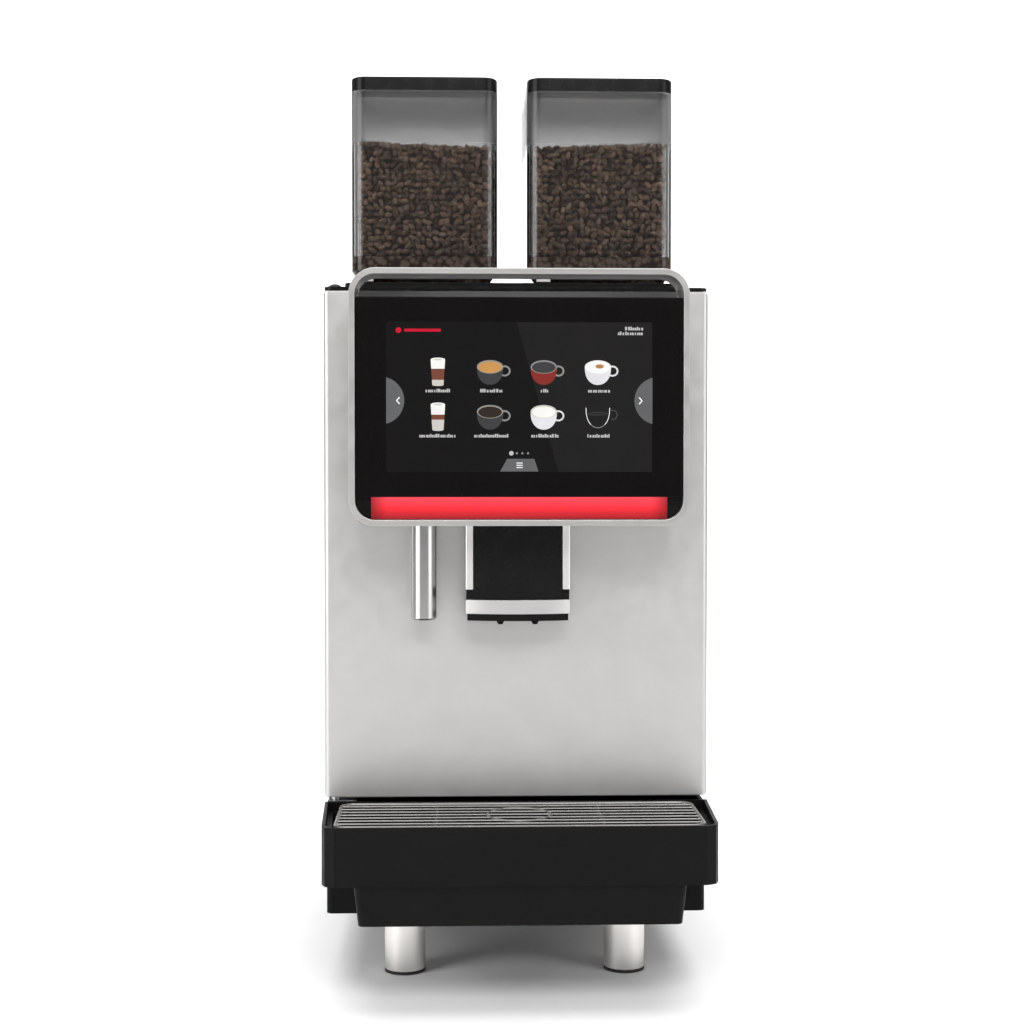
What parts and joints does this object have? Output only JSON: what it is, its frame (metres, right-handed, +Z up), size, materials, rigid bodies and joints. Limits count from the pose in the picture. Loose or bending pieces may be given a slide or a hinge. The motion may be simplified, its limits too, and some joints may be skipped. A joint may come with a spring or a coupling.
{
  "type": "coffee machine",
  "caption": "Countertop bean-to-cup coffee machine: hinged door with framed touch screen, height-adjustable spout, hot water outlet, drip tray with wire grid and clear bean hoppers on top.",
  "frame": {"origin": "on the floor under the middle of the bounding box", "axes": "+X to the right of a person facing the machine, +Y to the back, +Z up"},
  "size_m": [0.339, 0.54, 0.825],
  "materials": {
    "moulded_black": "fine satin grain",
    "gloss_black": "polished",
    "frame_steel": "galvanised",
    "side_paint": "satin powder coat",
    "rear_paint": "satin powder coat",
    "door_silver": "satin silver metallic",
    "leg_steel": "turned and brushed",
    "pad_rubber": "matte",
    "boiler_steel": "drawn, satin",
    "pump_body": "painted casting",
    "brass": "machined",
    "hose_plastic": "translucent tube",
    "dark_plastic": "moulded",
    "pale_plastic": "moulded",
    "motor_grey": "semi-gloss",
    "supply_case": "mill finish",
    "board_green": "solder mask",
    "screw_steel": "zinc plated",
    "frame_aluminium": "satin anodised",
    "display_grey": "satin",
    "screen_glass": "polished black glass",
    "light_red": "diffuser",
    "polished_steel": "mirror polished",
    "trim_chrome": "satin chrome",
    "hopper_clear": "smoked clear",
    "coffee_beans": "roasted beans, slightly oily",
    "gate_grey": "moulded",
    "burr_steel": "ground",
    "switch_red": "polished",
    "grid_steel": "electropolished wire"
  },
  "bodies": {
    "cabinet": {"base_body": "moulded_black", "chassis_frame": "frame_steel", "left_side_panel": "side_paint", "right_side_panel": "side_paint", "rear_panel": "rear_paint", "top_cover": "gloss_black", "hopper_deck": "gloss_black", "leg_tubes": "leg_steel", "leg_pads": "pad_rubber", "lower_hinge_bracket": "frame_steel", "upper_hinge_pin": "gloss_black", "boiler": "boiler_steel", "water_pump": "pump_body", "flow_meter": "pale_plastic", "valve_block": "brass", "water_lines": "hose_plastic", "brew_frame": "dark_plastic", "brew_chamber": "dark_plastic", "brew_motor": "motor_grey", "grinder_housings": "dark_plastic", "grinder_motors": "motor_grey", "grounds_chute": "dark_plastic", "grounds_bin": "moulded_black", "power_supply": "supply_case", "main_board": "board_green", "fan_housing": "dark_plastic", "mains_inlet": "dark_plastic", "water_inlet": "brass", "rear_screws": "screw_steel"},
    "door": {"door_panel": "door_silver", "door_liner": "dark_plastic", "door_bushes": "pale_plastic", "display_frame": "frame_aluminium", "display_glass": "screen_glass", "display_module": "dark_plastic", "display_housing": "gloss_black", "display_back": "display_grey", "light_bar": "light_red", "hot_water_tube": "polished_steel", "spout_guide": "frame_steel"},
    "spout": {"spout_cover": "gloss_black", "spout_trim": "trim_chrome", "spout_band": "trim_chrome", "nozzle_block": "moulded_black"},
    "tray": {"drip_tray": "moulded_black"},
    "grid": {"cup_grid": "grid_steel"},
    "left_hopper": {"hopper_left": "hopper_clear", "beans_left": "coffee_beans"},
    "right_hopper": {"hopper_right": "hopper_clear", "beans_right": "coffee_beans"},
    "left_lid": {"lid_left": "gloss_black"},
    "right_lid": {"lid_right": "gloss_black"},
    "left_gate": {"gate_left": "gate_grey"},
    "right_gate": {"gate_right": "gate_grey"},
    "piston": {"brew_piston": "pale_plastic"},
    "spindle": {"brew_spindle": "screw_steel"},
    "left_burr": {"burr_left": "burr_steel"},
    "right_burr": {"burr_right": "burr_steel"},
    "fan": {"fan_rotor": "dark_plastic"},
    "rocker": {"power_rocker": "switch_red"}
  },
  "joints": [
    {"name": "door_hinge", "type": "hinge", "parent": "cabinet", "child": "door", "pos_m": [-0.16, -0.146, 0.39], "axis": [0, 0, -1], "range_deg": [0, 110]},
    {"name": "spout_slide", "type": "slide", "parent": "door", "child": "spout", "axis": [0, 0, 1], "range_m": [-0.085, 0.01]},
    {"name": "tray_slide", "type": "slide", "parent": "cabinet", "child": "tray", "axis": [0, -1, 0], "range_m": [0, 0.18]},
    {"name": "grid_lift", "type": "slide", "parent": "tray", "child": "grid", "axis": [0, 0, 1], "range_m": [0, 0.06]},
    {"name": "left_hopper_lift", "type": "slide", "parent": "cabinet", "child": "left_hopper", "axis": [0, 0, 1], "range_m": [0, 0.1]},
    {"name": "right_hopper_lift", "type": "slide", "parent": "cabinet", "child": "right_hopper", "axis": [0, 0, 1], "range_m": [0, 0.1]},
    {"name": "left_lid_lift", "type": "slide", "parent": "left_hopper", "child": "left_lid", "axis": [0, 0, 1], "range_m": [0, 0.07]},
    {"name": "right_lid_lift", "type": "slide", "parent": "right_hopper", "child": "right_lid", "axis": [0, 0, 1], "range_m": [0, 0.07]},
    {"name": "left_gate_slide", "type": "slide", "parent": "left_hopper", "child": "left_gate", "axis": [0, -1, 0], "range_m": [0, 0.048]},
    {"name": "right_gate_slide", "type": "slide", "parent": "right_hopper", "child": "right_gate", "axis": [0, -1, 0], "range_m": [0, 0.048]},
    {"name": "spindle_turn", "type": "hinge", "parent": "cabinet", "child": "spindle", "pos_m": [0, -0.018, 0.32], "axis": [0, 0, 1], "range_deg": [0, 3420]},
    {"name": "piston_slide", "type": "slide", "parent": "cabinet", "child": "piston", "axis": [0, 0, 1], "range_m": [0, 0.038]},
    {"name": "left_burr_spin", "type": "hinge", "parent": "cabinet", "child": "left_burr", "pos_m": [-0.083, 0.03, 0.56], "axis": [0, 0, 1], "continuous": true},
    {"name": "right_burr_spin", "type": "hinge", "parent": "cabinet", "child": "right_burr", "pos_m": [0.083, 0.03, 0.56], "axis": [0, 0, 1], "continuous": true},
    {"name": "fan_spin", "type": "hinge", "parent": "cabinet", "child": "fan", "pos_m": [-0.02, 0.235, 0.5], "axis": [0, 1, 0], "continuous": true},
    {"name": "rocker_tilt", "type": "hinge", "parent": "cabinet", "child": "rocker", "pos_m": [-0.112, 0.25, 0.217], "axis": [1, 0, 0], "range_deg": [0, 14]}
  ],
  "couplings": [
    {"joint": "spindle_turn", "follows": "piston_slide", "rad_per_m": 1570.8}
  ]
}
